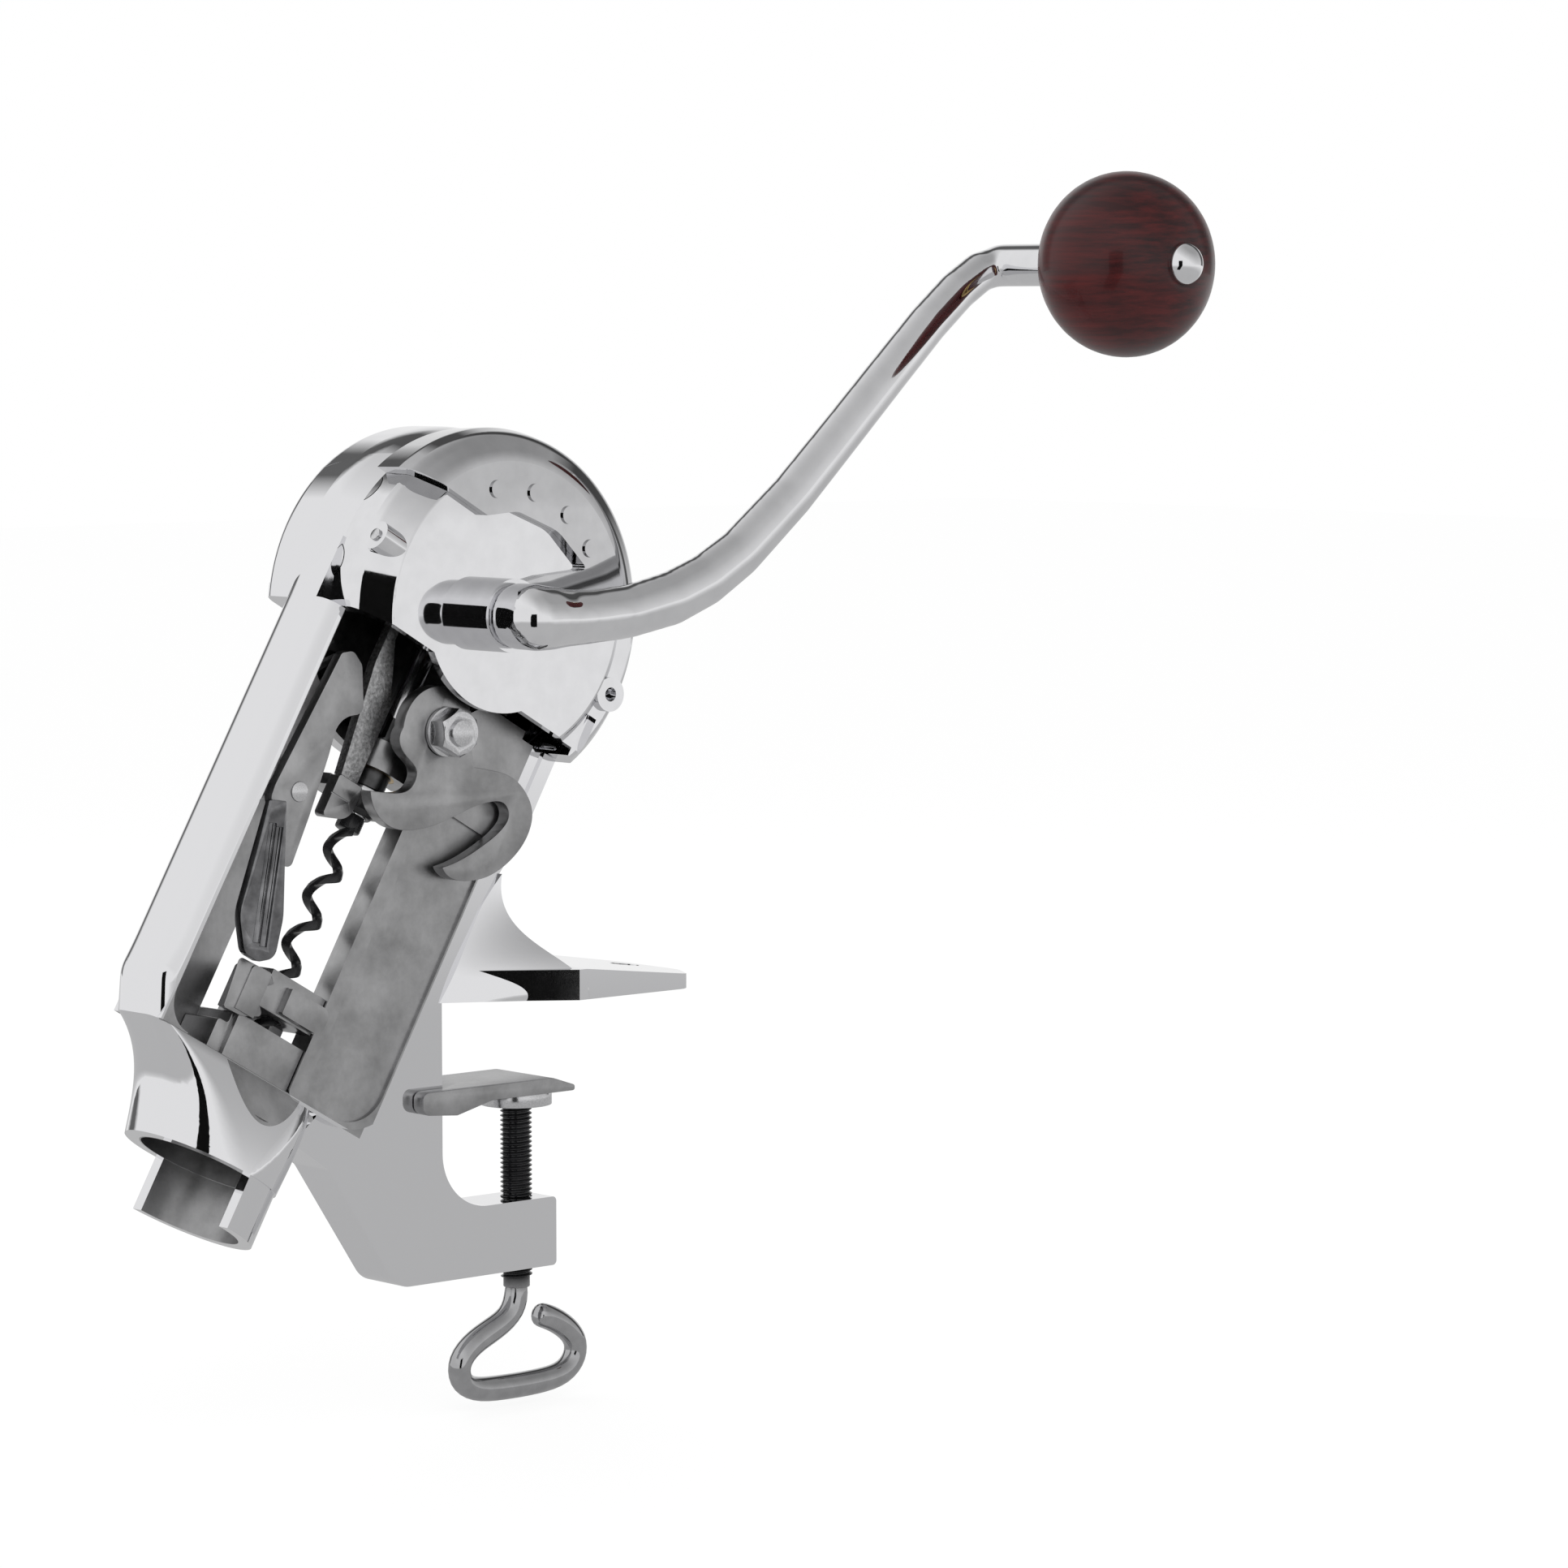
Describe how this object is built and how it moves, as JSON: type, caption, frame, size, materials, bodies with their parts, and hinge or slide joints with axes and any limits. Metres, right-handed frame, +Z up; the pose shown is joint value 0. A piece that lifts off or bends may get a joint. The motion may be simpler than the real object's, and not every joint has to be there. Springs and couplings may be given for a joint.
{
  "type": "counter mount corkscrew",
  "caption": "Table-clamp corkscrew: leaning cast frame with round gear head, worm in an open window, bottle bell, S-bent crank with wooden knob, screw clamp and foot.",
  "frame": {"origin": "on the table top, on the axis of the clamp screw, in the middle plane of the frame", "axes": "+Z up out of the table, +X in over the table away from its edge, -Y the side of the crank and cover"},
  "size_m": [0.3418, 0.1699, 0.3859],
  "materials": {
    "chrome": "polished",
    "satin": "satin",
    "steel": "polished",
    "cast": "rough",
    "black": "gloss",
    "brass": "satin",
    "wood": "gloss"
  },
  "bodies": {
    "frame": {"gear_case": "chrome", "left_rail": "chrome", "back_wall": "chrome", "web_panel": "chrome", "bottle_bell": "chrome", "clamp_arm": "chrome", "foot_flange": "chrome", "rear_hood": "chrome", "front_cover": "chrome", "cover_hood": "chrome", "cover_rivet": "steel", "neck_block": "satin", "shaft_bush": "brass", "rear_bush": "brass", "pinion_bush": "brass", "worm_guide": "satin", "guide_jaw": "satin", "pivot_stud": "steel", "pivot_washer": "steel", "pivot_nut": "steel", "latch_pin": "steel"},
    "crank": {"crank_shaft": "steel", "shaft_circlip": "steel", "crank_arm": "chrome", "knob_pin": "chrome", "knob_washer": "brass", "crown_gear": "steel", "feed_gear": "steel"},
    "knob": {"wooden_knob": "wood"},
    "pinion": {"spindle_pinion": "steel"},
    "carriage": {"carriage": "satin", "rack_bar": "cast", "worm_collar": "black", "thrust_ring": "steel"},
    "worm": {"worm": "black", "spindle": "steel"},
    "trip_lever": {"trip_lever": "satin"},
    "latch_lever": {"latch_lever": "satin", "gripper_leaf": "black"},
    "plate": {"pressure_plate": "satin"},
    "screw": {"clamp_screw": "black", "screw_flange": "black"}
  },
  "joints": [
    {"name": "crank_turn", "type": "hinge", "parent": "frame", "child": "crank", "pos_m": [-0.0283, 0, 0.1196], "axis": [0, -1, 0], "range_deg": [0, 180]},
    {"name": "knob_spin", "type": "hinge", "parent": "crank", "child": "knob", "pos_m": [0.1667, -0.103, 0.2266], "axis": [0, -1, 0], "continuous": true},
    {"name": "pinion_spin", "type": "hinge", "parent": "frame", "child": "pinion", "pos_m": [-0.0493, 0, 0.08323], "axis": [-0.5, 0, -0.866], "range_deg": [0, 1080]},
    {"name": "carriage_slide", "type": "slide", "parent": "frame", "child": "carriage", "axis": [-0.5, 0, -0.866], "range_m": [0, 0.048]},
    {"name": "worm_spin", "type": "hinge", "parent": "carriage", "child": "worm", "pos_m": [-0.0613, 0, 0.06244], "axis": [-0.5, 0, -0.866], "range_deg": [0, 1080]},
    {"name": "trip_lever_turn", "type": "hinge", "parent": "frame", "child": "trip_lever", "pos_m": [-0.0423, 0, 0.08415], "axis": [0, -1, 0], "range_deg": [-10, 20]},
    {"name": "latch_lever_turn", "type": "hinge", "parent": "frame", "child": "latch_lever", "pos_m": [-0.09289, 0, 0.06833], "axis": [0, -1, 0], "range_deg": [-6, 6]},
    {"name": "clamp_slide", "type": "slide", "parent": "frame", "child": "plate", "axis": [0, 0, 1], "range_m": [-0.012, 0.012]},
    {"name": "clamp_turn", "type": "hinge", "parent": "plate", "child": "screw", "pos_m": [0, 0, -0.03], "axis": [0, 0, 1], "range_deg": [-2880, 2880]}
  ],
  "couplings": [
    {"joint": "pinion_spin", "follows": "crank_turn", "ratio": 6},
    {"joint": "worm_spin", "follows": "crank_turn", "ratio": 6},
    {"joint": "carriage_slide", "follows": "crank_turn", "m_per_rad": 0.015279},
    {"joint": "clamp_turn", "follows": "clamp_slide", "rad_per_m": 4188.8}
  ]
}
